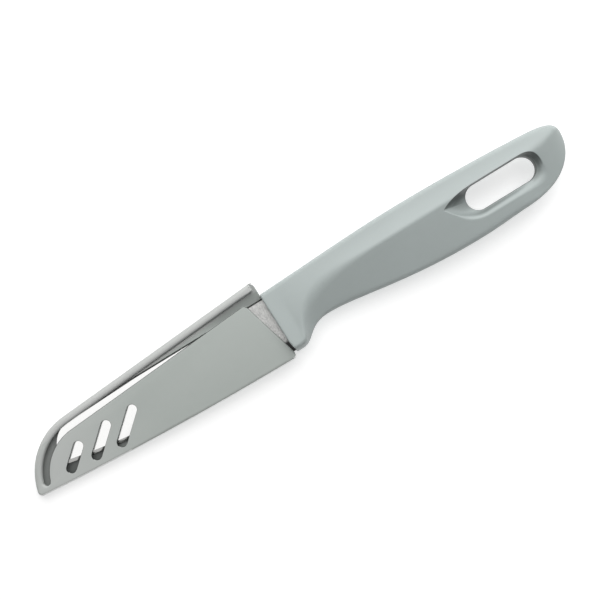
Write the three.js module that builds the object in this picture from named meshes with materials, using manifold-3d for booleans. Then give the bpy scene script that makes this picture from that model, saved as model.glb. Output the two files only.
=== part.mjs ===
// Paring knife in its slide-on sheath, in millimetres: a stamped steel blade, a handle moulded over the
// blade's tang, and a sheath moulded in one piece. It lies on its side with the tip at -X, the spine at
// +Y and +Z up. Up to the last lines, zero is where the spine meets the handle's front face.
import * as THREE from 'three';
import { mergeVertices } from 'three/addons/utils/BufferGeometryUtils.js';
import Module from 'manifold-3d';

const wasm = await Module();
wasm.setup();

// Blade
const bladeLength = 85.2; // handle's front face to the tip
const bladeDepth = 20.3; // spine to cutting edge at the heel
const bladeThickness = 1.2;
const edgeRise = 7.8; // climb of the cutting edge from the heel to the tip
const edgeBelly = 2.4; // power of that climb, so that most of it is near the tip
const spineStraight = 50; // spine that runs straight before it starts to fall
const spineFall = 1.6; // fall of the spine from there to the nose
const noseLength = 8.2; // rounded nose, back from the tip
const grindHeight = 1.2; // ground bevel above the cutting edge
const grindShare = 0.7; // most of the blade's height that the bevel takes near the tip
const edgeThickness = 0.1;
const tipHeight = 0.8; // blunt end of the point

// Tang inside the handle, and the pegs of the handle that lock it
const tangDrop = 3; // spine to the tang's upper side
const tangDepth = 9;
const tangCorner = 3;
const tangEndWall = 8; // plastic between the tang and the scoop of the hanging slot
const pegHoleRadius = 2.2;
const pegInset = 10; // each end of the tang to the nearer peg
const fitGap = 0.3; // between steel and the plastic moulded round it

// Handle
const handleLength = 113.7;
const frontRise = 1.8; // above the spine at the front face
const frontSlope = 0.035; // climb of the back there
const crownRise = 3.5; // highest point of the back
const tailRise = 1.5; // back of the handle where the end starts to round off
const tailSlope = -0.075;
const tailLength = 10.7;
const tipDrop = 4.2; // spine to the furthest point of the end
const heelCover = 0.7; // plastic below the blade's heel
const heelFlat = 3; // straight foot of the finger guard
const notchReach = 16.3; // front face to the deepest point of the finger notch
const notchWall = 3.4; // plastic under the tang there
const bellyDrop = 20.8; // spine to the fullest point of the belly
const bellyBack = 40.7; // fullest point of the belly, back from the end
const hipDrop = 20; // belly line where it turns up to the end
const hipSlope = 0.03;
const hipBack = 21.7;
const crestStart = 5.5; // front face to where the crest leaves the foot of the guard
const crestLength = 24.5; // from there to where it runs straight
const crestDrop = 4.4; // spine to the straight crest
const crestEnd = 1.5; // spine to the crest at the handle's end
const crestMargin = 0.02; // least share of the depth that is left on either side of the crest
const frontThickness = 10.6;
const handleThickness = 14;
const frontRound = 0.5; // softened edge of the front face
const backFall = 0.2; // share of the thickness lost over the facet above the crest
const bellyFall = 0.65; // and over the facet below it
const crestRoll = 0.08; // share of the thickness over which the facets roll into each other
const endRoll = 0.17; // and roll into the rounding at the back and the belly
const guardRound = 1.4; // depth of that rounding at the guard
const backRound = 4; // at the back of the grip
const bellyRound = 7.5; // at the belly of the grip

// Hanging slot and the scoop around it on both broad sides
const slotLength = 26;
const slotWidth = 8.7;
const slotDrop = 8.5; // spine to the slot's centre line
const slotBack = 13; // slot's far end to the handle's end
const slotWeb = 2.6; // height of the slot's straight wall
const scoopLead = 8.7; // pointed end of the scoop ahead of the slot
const scoopTail = 3.3;
const scoopLow = 1.9;
const scoopHigh = 0.5;

// Sheath
const plateThickness = 1.2;
const sideGap = 0.3; // blade to plate, each side
const edgeGap = 0.6; // cutting edge to the wall below it, at the heel
const edgeWall = 1.5;
const spineGap = 0.3; // spine to the shelf beside it, and to the rail at the nose
const mouthRoom = 4.2; // spine to the rail at the mouth
const railWidth = 2.7;
const railSetback = 1.1; // end of the rail, back from the mouth
const shelfDrop = 0.2; // side of the blade to the shelf between spine and rail
const slitWidth = 2.4; // open slit between the rail and the front plate
const slitFoot = 0.8; // plate left under the slit's lower end
const noseRoom = 11.8; // tip to the outside of the nose
const noseDrop = 5.2; // tip to the underside of the nose
const noseCorner = 1.8;
const noseLean = 2; // how far the nose leans back above its foot
const noseShoulder = 6; // height above the tip where it starts to round over
const noseRun = 10; // how far the rail's line is followed into that rounding
const undersideBow = 0.4;
const mouthGap = 0.2; // sheath to the handle's front face
const mouthCut = 6.5; // slanted front of the plate, at its upper edge
const mouthFoot = 2.6; // underside to the lower end of that slant
const sheathEdgeRound = 0.6;
const ventWidth = 3.4;
const ventSlant = 42; // degrees
const ventPitch = 9.4;
const ventLengths = [7.7, 10.3, 11.3]; // between the centres of the round ends, from the nose
const ventInset = 13.8; // outside of the nose to the first vent's lower end
const ventRise = 3.9; // underside of the sheath to the vents' lower ends

// Sampling of the curves
const curveSteps = 14;
const handleStations = 36;
const handleSides = 28;
const bladeStations = 18;
const reach = 12; // how far cutters run past the faces that they cut

const vec2 = (x, y) => new THREE.Vector2(x, y);

// Solids: a closed geometry becomes a solid for cutting and joining, and comes back as a geometry
function solid(geometry) {
  geometry.deleteAttribute('normal');
  geometry.deleteAttribute('uv');
  const merged = mergeVertices(geometry, 1e-4);
  return new wasm.Manifold(new wasm.Mesh({
    numProp: 3,
    vertProperties: new Float32Array(merged.attributes.position.array),
    triVerts: new Uint32Array(merged.index.array),
  }));
}

function geometryOf(body) {
  const mesh = body.getMesh();
  const geometry = new THREE.BufferGeometry();
  geometry.setAttribute('position', new THREE.BufferAttribute(mesh.vertProperties, 3));
  geometry.setIndex(new THREE.BufferAttribute(mesh.triVerts, 1));
  geometry.computeVertexNormals();
  return geometry;
}

// Skin over rings of equal count, each turning the same way, closed by a fan at both ends
function loft(rings) {
  const count = rings[0].length;
  const positions = [];
  const index = [];
  for (const ring of rings) {
    for (const point of ring) positions.push(point.x, point.y, point.z);
  }
  for (let row = 0; row + 1 < rings.length; row++) {
    for (let i = 0; i < count; i++) {
      const a = row * count + i;
      const b = row * count + (i + 1) % count;
      index.push(a, b, b + count, a, b + count, a + count);
    }
  }
  const capEnd = (ring, first, forward) => {
    const centre = new THREE.Vector3();
    for (const point of ring) centre.addScaledVector(point, 1 / count);
    const hub = positions.length / 3;
    positions.push(centre.x, centre.y, centre.z);
    for (let i = 0; i < count; i++) {
      const a = first + i;
      const b = first + (i + 1) % count;
      if (forward) index.push(hub, a, b);
      else index.push(hub, b, a);
    }
  };
  capEnd(rings[0], 0, false);
  capEnd(rings.at(-1), (rings.length - 1) * count, true);
  const geometry = new THREE.BufferGeometry();
  geometry.setAttribute('position', new THREE.Float32BufferAttribute(positions, 3));
  geometry.setIndex(index);
  return geometry;
}

// Upright prism over an outline, between two heights
function prism(outline, low, high) {
  const shape = Array.isArray(outline) ? new THREE.Shape(outline) : outline;
  const geometry = new THREE.ExtrudeGeometry(shape, {
    depth: high - low, bevelEnabled: false, curveSegments: curveSteps,
  });
  return solid(geometry.translate(0, 0, low));
}

function stadium(from, to, width) {
  const along = Math.atan2(to.y - from.y, to.x - from.x);
  const shape = new THREE.Shape();
  shape.absarc(to.x, to.y, width / 2, along - Math.PI / 2, along + Math.PI / 2);
  shape.absarc(from.x, from.y, width / 2, along + Math.PI / 2, along + Math.PI * 1.5);
  return shape;
}

function rectangle(left, low, right, high) {
  return [vec2(left, low), vec2(right, low), vec2(right, high), vec2(left, high)];
}

// Height of a sampled line, given its points in order of x
function heightAt(points, x) {
  const next = points.findIndex((point) => point.x >= x);
  if (next < 0) return points.at(-1).y;
  if (next === 0) return points[0].y;
  const before = points[next - 1];
  const after = points[next];
  const share = (x - before.x) / (after.x - before.x || 1);
  return before.y + share * (after.y - before.y);
}

// Blade: cutting edge and spine as functions of x
const tipY = edgeRise - bladeDepth;
const noseX = noseLength - bladeLength;

function edgeY(x) {
  return -bladeDepth + edgeRise * Math.pow(-x / bladeLength, edgeBelly);
}

function spineY(x) {
  if (x > -spineStraight) return 0;
  if (x > noseX) return -spineFall * (x + spineStraight) / (noseX + spineStraight);
  const share = Math.min(1, (noseX - x) / noseLength);
  const low = tipY + tipHeight;
  return low + (-spineFall - low) * Math.sqrt(1 - share * share);
}

// Steel section: flat sides that are ground down to the cutting edge
function bladeSection(x) {
  const spine = spineY(x);
  const edge = edgeY(x);
  const grind = edge + Math.min(grindHeight, (spine - edge) * grindShare);
  const half = bladeThickness / 2;
  const fine = edgeThickness / 2;
  const under = [[spine, -half], [grind, -half], [edge, -fine]];
  const over = [[edge, fine], [grind, half], [spine, half]];
  return [...under, ...over].map(([y, z]) => new THREE.Vector3(x, y, z));
}

// Slot ends and the tang that stops short of the scoop
const slotRight = handleLength - slotBack;
const slotLeft = slotRight - slotLength;
const tangLength = slotLeft - scoopLead - tangEndWall;
const pegPlaces = [pegInset, tangLength - pegInset];

function tangOutline(gap, front) {
  const top = gap - tangDrop;
  const bottom = -tangDrop - tangDepth - gap;
  const end = tangLength + gap;
  const corner = Math.min(tangCorner, tangDepth / 2);
  const shape = new THREE.Shape();
  shape.moveTo(front, bottom);
  shape.lineTo(end - corner, bottom);
  shape.quadraticCurveTo(end, bottom, end, bottom + corner);
  shape.lineTo(end, top - corner);
  shape.quadraticCurveTo(end, top, end - corner, top);
  shape.lineTo(front, top);
  return shape;
}

function pegs(radius) {
  const rods = pegPlaces.map((x) => {
    const rod = new THREE.CylinderGeometry(radius, radius, reach, curveSteps);
    rod.rotateX(Math.PI / 2);
    rod.translate(x, -tangDrop - tangDepth / 2, 0);
    return solid(rod);
  });
  return rods[0].add(rods[1]);
}

function buildBlade() {
  const rings = [];
  for (let i = 0; i <= bladeStations; i++) {
    const x = -fitGap - (bladeLength - fitGap) * Math.sin((Math.PI / 2) * (i / bladeStations));
    rings.push(bladeSection(x));
  }
  const half = bladeThickness / 2;
  const tang = prism(tangOutline(0, -fitGap - grindHeight), -half, half);
  return solid(loft(rings)).add(tang).subtract(pegs(pegHoleRadius));
}

// Handle: a line over x, from stretches that each leave and arrive at a slope. The shares say how much
// of a stretch keeps close to each slope.
function lineThrough(first, stretches) {
  const path = new THREE.Path();
  path.moveTo(first.x, first.y);
  let from = { slope: 0, ...first };
  for (const to of stretches) {
    const run = to.x - from.x;
    const [leave, arrive] = to.shares;
    const near = vec2(from.x + leave * run, from.y + leave * run * from.slope);
    const far = to.upright
      ? vec2(to.x, to.y + arrive * (from.y - to.y))
      : vec2(to.x - arrive * run, to.y - arrive * run * (to.slope ?? 0));
    path.bezierCurveTo(near.x, near.y, far.x, far.y, to.x, to.y);
    from = { slope: 0, ...to };
  }
  return path.getPoints(curveSteps * 2);
}

const heelY = -bladeDepth - heelCover;
const notchY = -tangDrop - tangDepth - notchWall;
const tailX = handleLength - tailLength;
const crownX = tailX / 2;
const end = { x: handleLength, y: -tipDrop, upright: true };

const backLine = lineThrough({ x: 0, y: frontRise, slope: frontSlope }, [
  { x: crownX, y: crownRise, shares: [0.4, 0.3] },
  { x: tailX, y: tailRise, slope: tailSlope, shares: [0.4, 0.2] },
  { ...end, shares: [0.9, 0.5] },
]);
const bellyLine = lineThrough({ x: 0, y: heelY }, [
  { x: heelFlat, y: heelY, shares: [0.5, 0.5] },
  { x: notchReach, y: notchY, shares: [0.38, 0.6] },
  { x: handleLength - bellyBack, y: -bellyDrop, shares: [0.2, 0.5] },
  { x: handleLength - hipBack, y: -hipDrop, slope: hipSlope, shares: [0.4, 0.3] },
  { ...end, shares: [0.74, 0.43] },
]);
const sideLine = lineThrough({ x: 0, y: frontThickness / 2 }, [
  { x: crownX, y: handleThickness / 2, shares: [0.3, 0.4] },
  { ...end, y: 0, shares: [0.5, 0.75] },
]);
const crestLine = lineThrough({ x: crestStart, y: heelY, slope: 6 }, [
  { x: crestStart + crestLength, y: -crestDrop, shares: [0.08, 0.65] },
  { x: slotRight, y: -crestDrop, shares: [0.1, 0.3] },
  { x: handleLength, y: -crestEnd, slope: 0.3, shares: [0.4, 0.3] },
]);
const bellyRoundLine = lineThrough({ x: crestStart, y: guardRound }, [
  { x: crestStart + crestLength, y: bellyRound, shares: [0.4, 0.4] },
]);
const backRoundLine = lineThrough({ x: 0, y: guardRound }, [
  { x: crestStart + crestLength, y: backRound, shares: [0.4, 0.4] },
]);

// The lower of two heights, rolled into each other over a width
function softMin(first, second, width) {
  const mix = THREE.MathUtils.clamp(0.5 + (second - first) / (2 * width), 0, 1);
  return second + (first - second) * mix - width * mix * (1 - mix);
}

// Section as a ring of points: a facet above the crest, one below it, and a rounding at both ends
function handleSection(x, inset) {
  const back = heightAt(backLine, x);
  const belly = heightAt(bellyLine, x);
  const depth = back - belly;
  const margin = crestMargin * depth;
  const crest = THREE.MathUtils.clamp(heightAt(crestLine, x), belly + margin, back - margin);
  const topRound = Math.min(heightAt(backRoundLine, x), depth / 2);
  const footRound = Math.min(heightAt(bellyRoundLine, x), depth / 2);
  const half = heightAt(sideLine, x);
  const skin = (y) => {
    const above = 1 + crestRoll / 4 - (backFall * (y - crest)) / (back - crest);
    const below = 1 + crestRoll / 4 - (bellyFall * (crest - y)) / (crest - belly);
    const top = Math.sqrt(Math.max(back - y, 0) / topRound);
    const foot = Math.sqrt(Math.max(y - belly, 0) / footRound);
    const facets = softMin(above, below, crestRoll);
    return (half - inset) * softMin(facets, softMin(top, foot, endRoll), endRoll);
  };
  const ring = [];
  for (let i = 0; i < handleSides; i++) {
    const turn = (2 * Math.PI * i) / handleSides;
    const c = Math.cos(turn);
    const y = crest + c * (c > 0 ? back - crest : crest - belly);
    const z = i % (handleSides / 2) === 0 ? 0 : Math.sign(Math.sin(turn)) * skin(y);
    ring.push(new THREE.Vector3(x, y - c * inset, z));
  }
  return ring;
}

// Slot and scoop edges, as six matching stretches that run clockwise from the lower left
function slotRing(z) {
  const r = slotWidth / 2;
  const left = slotLeft + r;
  const right = slotRight - r;
  const quarter = (x, from) => new THREE.EllipseCurve(x, -slotDrop, r, r, from, from - Math.PI / 2, true);
  return ringOf([
    quarter(left, Math.PI * 1.5),
    quarter(left, Math.PI),
    new THREE.LineCurve(vec2(left, r - slotDrop), vec2(right, r - slotDrop)),
    quarter(right, Math.PI / 2),
    quarter(right, 0),
    new THREE.LineCurve(vec2(right, -r - slotDrop), vec2(left, -r - slotDrop)),
  ], z);
}

function scoopRing(z) {
  const r = slotWidth / 2;
  const high = r - slotDrop + scoopHigh;
  const low = -r - slotDrop - scoopLow;
  const lead = vec2(slotLeft - scoopLead, r / 2 - slotDrop);
  const tail = vec2(slotRight + scoopTail, -slotDrop);
  const left = slotLeft + r;
  const right = slotRight - r;
  const bend = (from, by, to) => new THREE.QuadraticBezierCurve(from, by, to);
  return ringOf([
    bend(vec2(left, low), vec2(slotLeft - scoopLead / 3, low), lead),
    bend(lead, vec2(lead.x + r, high), vec2(left, high)),
    new THREE.LineCurve(vec2(left, high), vec2(right, high)),
    bend(vec2(right, high), vec2(tail.x, high), tail),
    bend(tail, vec2(tail.x, low), vec2(right, low)),
    new THREE.LineCurve(vec2(right, low), vec2(left, low)),
  ], z);
}

function ringOf(curves, z) {
  const points = curves.flatMap((curve) => curve.getPoints(curveSteps / 2).slice(0, -1));
  return points.map((point) => new THREE.Vector3(point.x, point.y, z));
}

function buildHandle() {
  const rings = [handleSection(0, frontRound)];
  for (let i = 1; i < handleStations; i++) {
    const x = (handleLength * (1 - Math.cos((Math.PI * i) / handleStations))) / 2;
    rings.push(handleSection(Math.max(x, frontRound), 0));
  }
  const last = rings.at(-1);
  rings.push(last.map((point) => new THREE.Vector3(handleLength, (point.y - tipDrop) / 2, point.z / 2)));
  let body = solid(loft(rings));
  const web = slotWeb / 2;
  const face = handleThickness / 2;
  body = body.subtract(solid(loft([slotRing(face + reach), slotRing(-face - reach)])));
  body = body.subtract(solid(loft([scoopRing(face), slotRing(web)])));
  body = body.subtract(solid(loft([slotRing(-web), scoopRing(-face)])));
  const pocketHalf = bladeThickness / 2 + fitGap;
  const pocket = prism(tangOutline(fitGap, -reach), -pocketHalf, pocketHalf);
  return body.subtract(pocket.subtract(pegs(pegHoleRadius - fitGap)));
}

// Sheath: the rail's line runs from the mouth to the nose, the underside from the nose to the mouth
const insideHalf = bladeThickness / 2 + sideGap;
const sheathHalf = insideHalf + plateThickness;
const sheathNose = -bladeLength - noseRoom;
const undersideMouth = -bladeDepth - edgeGap - edgeWall;
const undersideNose = tipY - noseDrop;
const railSlope = (mouthRoom + spineFall - spineGap) / -noseX;
const railNoseY = spineGap - spineFall + railWidth;
const railAt = (x) => railNoseY + railSlope * (x - noseX);
const noseEnd = vec2(sheathNose, undersideNose + noseCorner);
const noseBend = [
  vec2(noseX - noseRun, railAt(noseX - noseRun)),
  vec2(sheathNose + noseLean, tipY + noseShoulder),
];
const undersideStart = vec2(sheathNose + noseCorner, undersideNose);
const undersideBend = vec2(sheathNose / 2, undersideMouth + undersideBow);
const undersideEnd = vec2(-mouthGap, undersideMouth);

function inset(points, by) {
  return points.map((point, i) => {
    const before = points[Math.max(i - 1, 0)];
    const after = points[Math.min(i + 1, points.length - 1)];
    const along = after.clone().sub(before).normalize();
    return vec2(point.x - along.y * by, point.y + along.x * by);
  });
}

function belowRail(by) {
  const nose = new THREE.CubicBezierCurve(vec2(noseX, railAt(noseX)), ...noseBend, noseEnd);
  const line = inset([vec2(reach, railAt(reach)), ...nose.getPoints(curveSteps)], by);
  return [...line, vec2(line.at(-1).x, undersideMouth - reach), vec2(reach, undersideMouth - reach)];
}

function aboveUnderside(by) {
  const curve = new THREE.QuadraticBezierCurve(undersideStart, undersideBend, undersideEnd);
  const line = inset(curve.getPoints(curveSteps), by);
  const first = vec2(sheathNose - reach, line[0].y);
  const last = vec2(reach, line.at(-1).y);
  return [first, ...line, last, vec2(reach, railWidth + reach), vec2(first.x, railWidth + reach)];
}

function sheathBlank() {
  const shape = new THREE.Shape();
  shape.moveTo(-mouthGap, railAt(-mouthGap));
  shape.lineTo(noseX, railAt(noseX));
  shape.bezierCurveTo(noseBend[0].x, noseBend[0].y, noseBend[1].x, noseBend[1].y, noseEnd.x, noseEnd.y);
  shape.quadraticCurveTo(sheathNose, undersideNose, undersideStart.x, undersideStart.y);
  shape.quadraticCurveTo(undersideBend.x, undersideBend.y, undersideEnd.x, undersideEnd.y);
  const geometry = new THREE.ExtrudeGeometry(shape, {
    depth: 2 * (sheathHalf - sheathEdgeRound),
    bevelThickness: sheathEdgeRound,
    bevelSize: sheathEdgeRound,
    bevelOffset: -sheathEdgeRound,
    bevelSegments: 2,
    curveSegments: curveSteps,
  });
  return solid(geometry.translate(0, 0, sheathEdgeRound - sheathHalf));
}

function vents(low, high) {
  const slant = THREE.MathUtils.degToRad(ventSlant);
  const underside = new THREE.QuadraticBezierCurve(undersideStart, undersideBend, undersideEnd);
  const line = underside.getPoints(curveSteps);
  return ventLengths.map((length, i) => {
    const x = sheathNose + ventInset + ventPitch * i;
    const lower = vec2(x, heightAt(line, x) + ventRise);
    const upper = vec2(lower.x + length * Math.cos(slant), lower.y + length * Math.sin(slant));
    return prism(stadium(lower, upper, ventWidth), low, high);
  });
}

function buildSheath() {
  const front = sheathHalf + reach;
  const shelf = bladeThickness / 2 - shelfDrop;
  const underSpine = rectangle(sheathNose, undersideMouth, reach, spineGap);
  const room = prism(belowRail(railWidth), -insideHalf, insideHalf)
    .intersect(prism(aboveUnderside(edgeWall), -insideHalf, insideHalf))
    .intersect(prism(underSpine, -insideHalf, insideHalf));
  const slit = prism(belowRail(railWidth), shelf, front)
    .subtract(prism(belowRail(railWidth + slitWidth), shelf, front))
    .intersect(prism(aboveUnderside(edgeWall + slitFoot), shelf, front));
  const railStop = rectangle(-mouthGap - railSetback, 0, reach, railAt(reach));
  const lip = undersideMouth + mouthFoot;
  const plateTop = railAt(-mouthCut) - railWidth - slitWidth;
  const mouth = [
    vec2(-mouthCut, plateTop),
    vec2(-mouthGap, lip),
    vec2(reach, lip),
    vec2(reach, plateTop + slitWidth),
    vec2(-mouthCut, plateTop + slitWidth / 2),
  ];
  let body = sheathBlank().subtract(room).subtract(slit).subtract(prism(mouth, shelf, front));
  body = body.subtract(prism(railStop, shelf, front));
  for (const vent of vents(shelf, front)) body = body.subtract(vent);
  return body;
}

// Finishes: satin grey plastic and brushed stainless steel
const greyPlastic = { color: 0xa9afab, roughness: 0.55, metalness: 0 };
const steel = { color: 0xd2d4d4, roughness: 0.28, metalness: 1 };

function piece(name, body, finish) {
  const mesh = new THREE.Mesh(geometryOf(body), new THREE.MeshStandardMaterial(finish));
  mesh.name = name;
  return mesh;
}

// The knife's own origin is the bottom centre of its box, as it lies on its side
const paringKnife = new THREE.Group();
paringKnife.add(piece('blade', buildBlade(), steel));
paringKnife.add(piece('handle', buildHandle(), greyPlastic));
paringKnife.add(piece('sheath', buildSheath(), greyPlastic));
const box = new THREE.Box3().setFromObject(paringKnife);
const middle = box.getCenter(new THREE.Vector3());
paringKnife.position.set(-middle.x, -middle.y, -box.min.z);

export default paringKnife;
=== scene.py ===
# %% [markdown]
# # A paring knife in its sheath
# A small fruit knife lies flat on a white table, seen from straight above. It has three pieces: a stamped steel
# blade, a plastic handle moulded round its tang, and a plastic sheath that slides over the blade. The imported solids
# are loaded first and stay as they are. Each piece below takes the place of one of them, in the same frame and in
# metres.

# %% Load the frame
import math
import bmesh
import bpy
import numpy as np
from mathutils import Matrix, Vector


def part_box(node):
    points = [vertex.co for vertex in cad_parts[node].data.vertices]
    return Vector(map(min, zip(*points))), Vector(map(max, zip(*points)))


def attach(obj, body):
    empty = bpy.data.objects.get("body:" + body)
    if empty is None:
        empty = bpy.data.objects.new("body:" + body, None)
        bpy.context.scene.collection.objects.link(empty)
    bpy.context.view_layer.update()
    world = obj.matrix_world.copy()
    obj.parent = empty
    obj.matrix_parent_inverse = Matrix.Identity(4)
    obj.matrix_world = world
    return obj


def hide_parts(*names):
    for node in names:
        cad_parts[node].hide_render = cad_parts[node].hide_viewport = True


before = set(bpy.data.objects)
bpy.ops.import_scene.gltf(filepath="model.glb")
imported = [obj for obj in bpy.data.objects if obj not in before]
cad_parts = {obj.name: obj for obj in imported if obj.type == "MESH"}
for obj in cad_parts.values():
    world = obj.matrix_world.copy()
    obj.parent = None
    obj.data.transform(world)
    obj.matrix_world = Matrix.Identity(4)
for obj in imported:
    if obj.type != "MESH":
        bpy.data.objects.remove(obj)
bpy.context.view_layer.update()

# %% [markdown]
# A knife is easiest to draw from one corner: x along the knife from the handle's front face, y from the blade's
# straight spine, z from the middle of the steel, in millimetres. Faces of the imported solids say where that
# corner lies in the frame, so nothing has to be fitted.

# %% From knife millimetres to the frame
MM = 0.001
blade_low, blade_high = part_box("blade")
handle_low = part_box("handle")[0]
CORNER = np.array([handle_low[0], blade_high[1], (blade_low[2] + blade_high[2]) / 2])


def to_frame(points):
    """Knife millimetres as metres in the frame"""
    return np.asarray(points, float) * MM + CORNER


print("corner of the drawing", CORNER.round(5))

# %% [markdown]
# ## Camera
# The photograph looks straight down, with the handle pointing up to the right. The knife keeps the frame's axes and
# the camera is turned instead. From a third of a metre the perspective shows a little of the far walls of slot,
# vents and slit.

# %% Camera above the table
VIEW_TURN = math.radians(-31.5)
VIEW_WIDTH, VIEW_HEIGHT = 0.2, 0.36
VIEW_CENTRE = to_frame((10.58, -6.75, 0))


def placed(name, data):
    """A new object in the scene"""
    made = bpy.data.objects.new(name, data)
    bpy.context.collection.objects.link(made)
    return made


camera = placed("camera", bpy.data.cameras.new("camera"))
camera.data.lens = camera.data.sensor_width * VIEW_HEIGHT / VIEW_WIDTH
camera.location = VIEW_CENTRE + (0, 0, VIEW_HEIGHT)
camera.rotation_euler = (0, 0, VIEW_TURN)
bpy.context.scene.camera = camera
bpy.context.scene.view_settings.view_transform = "Standard"
print("lens", round(camera.data.lens, 1), "mm")

# %% [markdown]
# ## Writing a node tree as expressions
# Most nodes of a finish are arithmetic. One small class wraps a socket, so that an ordinary expression adds the
# Math nodes. One method makes every other node from its type, its settings and its sockets, and short methods name
# the few that come back often.

# %% Wires and trees


def operators(operation):
    """An operator and its reflected form, which add one Math node"""
    return (lambda wire, other: wire.maths(operation, wire, other),
            lambda wire, other: wire.maths(operation, other, wire))


class Wire:
    """One output of a node tree, with arithmetic"""

    def __init__(self, tree, socket):
        self.tree, self.socket = tree, socket

    def maths(self, operation, first, second):
        return self.tree.node("ShaderNodeMath", {"operation": operation}, {0: first, 1: second})

    __add__, __radd__ = operators("ADD")
    __sub__, __rsub__ = operators("SUBTRACT")
    __mul__, __rmul__ = operators("MULTIPLY")


class Tree:
    """A node tree that is written as expressions"""

    def __init__(self, nodes_of):
        self.nodes, self.links = nodes_of.nodes, nodes_of.links
        self.nodes.clear()

    def node(self, kind, settings=None, sockets=None, out=0):
        made = self.nodes.new(kind)
        for name, value in (settings or {}).items():
            setattr(made, name, value)
        for name, value in (sockets or {}).items():
            if isinstance(value, Wire):
                self.links.new(value.socket, made.inputs[name])
            else:
                made.inputs[name].default_value = value
        return Wire(self, made.outputs[out]) if made.outputs else None

    def places(self):
        """Where a point of the surface is, in metres"""
        return self.node("ShaderNodeTexCoord", out="Object")

    def from_corner(self, places):
        """Distances from the drawing's corner along x and y"""
        return [self.node("ShaderNodeSeparateXYZ", None, {0: places}, axis) - float(CORNER[axis]) for axis in (0, 1)]

    def mark(self, name):
        """A value that the mesh carries on its faces"""
        return self.node("ShaderNodeAttribute", {"attribute_name": name}, out="Fac")

    def noise(self, places, scale, detail=2.0, roughness=0.5):
        sockets = {"Vector": places, "Scale": scale, "Detail": detail, "Roughness": roughness}
        return self.node("ShaderNodeTexNoise", None, sockets)

    def brushed(self, places, scales, roughness):
        """Noise that is stretched into lines"""
        mapped = self.node("ShaderNodeMapping", None, {"Vector": places, "Scale": scales})
        return self.noise(mapped, 1.0, roughness=roughness)

    def blend(self, share, first, second):
        return self.node("ShaderNodeMix", {"data_type": "RGBA"}, {"Factor": share, 6: first, 7: second}, 2)

    def step(self, value, low, high):
        """Smooth step from 0 at low to 1 at high"""
        sockets = {"Value": value, "From Min": low, "From Max": high}
        return self.node("ShaderNodeMapRange", {"interpolation_type": "SMOOTHSTEP"}, sockets)

    def bump(self, strength, depth, height):
        sockets = {"Strength": strength, "Distance": depth, "Height": height}
        return self.node("ShaderNodeBump", None, sockets)

    def surface(self, sockets):
        """One Principled shader for the whole surface"""
        shader = self.node("ShaderNodeBsdfPrincipled", None, sockets)
        self.node("ShaderNodeOutputMaterial", None, {"Surface": shader})


def new_finish(name):
    material = bpy.data.materials.new(name)
    material.use_nodes = True
    return material, Tree(material.node_tree)


def linear(red, green, blue):
    """A colour as eyes read it on a screen, 0 to 255, in the renderer's linear light"""
    levels = [level / 255 for level in (red, green, blue)]
    return tuple(v / 12.92 if v <= 0.04045 else ((v + 0.055) / 1.055) ** 2.4 for v in levels) + (1,)


print("a mid grey in linear light", [round(v, 3) for v in linear(170, 176, 174)])

# %% [markdown]
# ## Satin plastic
# Handle and sheath are the same pale grey plastic with a breath of green, from a finely eroded steel mould. From
# close by a grain of about a tenth of a millimetre breaks the shine. From further off only slow clouds show, where
# the plastic cooled at different rates. Noise at three sizes gives both.
#
# Deep places get painted shade, and the outer edge of the sheath's underside a painted highlight, as one large lamp
# leaves them too light or too dark. So the meshes carry marks on such faces, and the finish blends in a dark or a
# pale grey there. Rail and nose get a painted highlight by their place alone.

# %% Plastic finishes
DRIFT_SCALE, CLOUD_SCALE, GRAIN_SCALE = 38, 330, 9000
DRIFT_SHARE, CLOUD_SHARE = 0.6, 0.4
CLOUD_SHINE, GRAIN_SHINE = 0.12, 0.16
GRAIN_STRENGTH, GRAIN_DEPTH, CLOUD_HEIGHT = 0.35, 0.00003, 0.8
PLASTIC_IOR = 1.47
# painted shade for deep places, then painted highlights for rail and nose and for the underside's rim
PAINTED_SHADE_COLOUR, PAINTED_HIGHLIGHT_COLOUR, RIM_HIGHLIGHT_COLOUR = linear(62, 66, 64), linear(192, 194, 192), linear(245, 247, 245)
# rail and nose get a painted highlight by their place
RAIL_SLOPE, RAIL_PALE, RAIL_HIGHLIGHT = 0.0714, (0.0031, 0.0037), 0.9
NOSE_PALE, NOSE_HIGHLIGHT = (-0.045, -0.09), 0.65
# painted shade on the room's floor towards the nose, deeper at the feet of the vents
FLOOR_RUN, FLOOR_PAINTED_SHADE = (-0.055, -0.07), 0.6
VENT_DROP, VENT_RUN, VENT_PAINTED_SHADE = (-0.010, -0.013), (-0.090, -0.087), 0.3
# painted shade on the shelf beside the spine
SHELF_RUN, SHELF_PAINTED_SHADE = (-0.026, -0.012), 0.5


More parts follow.
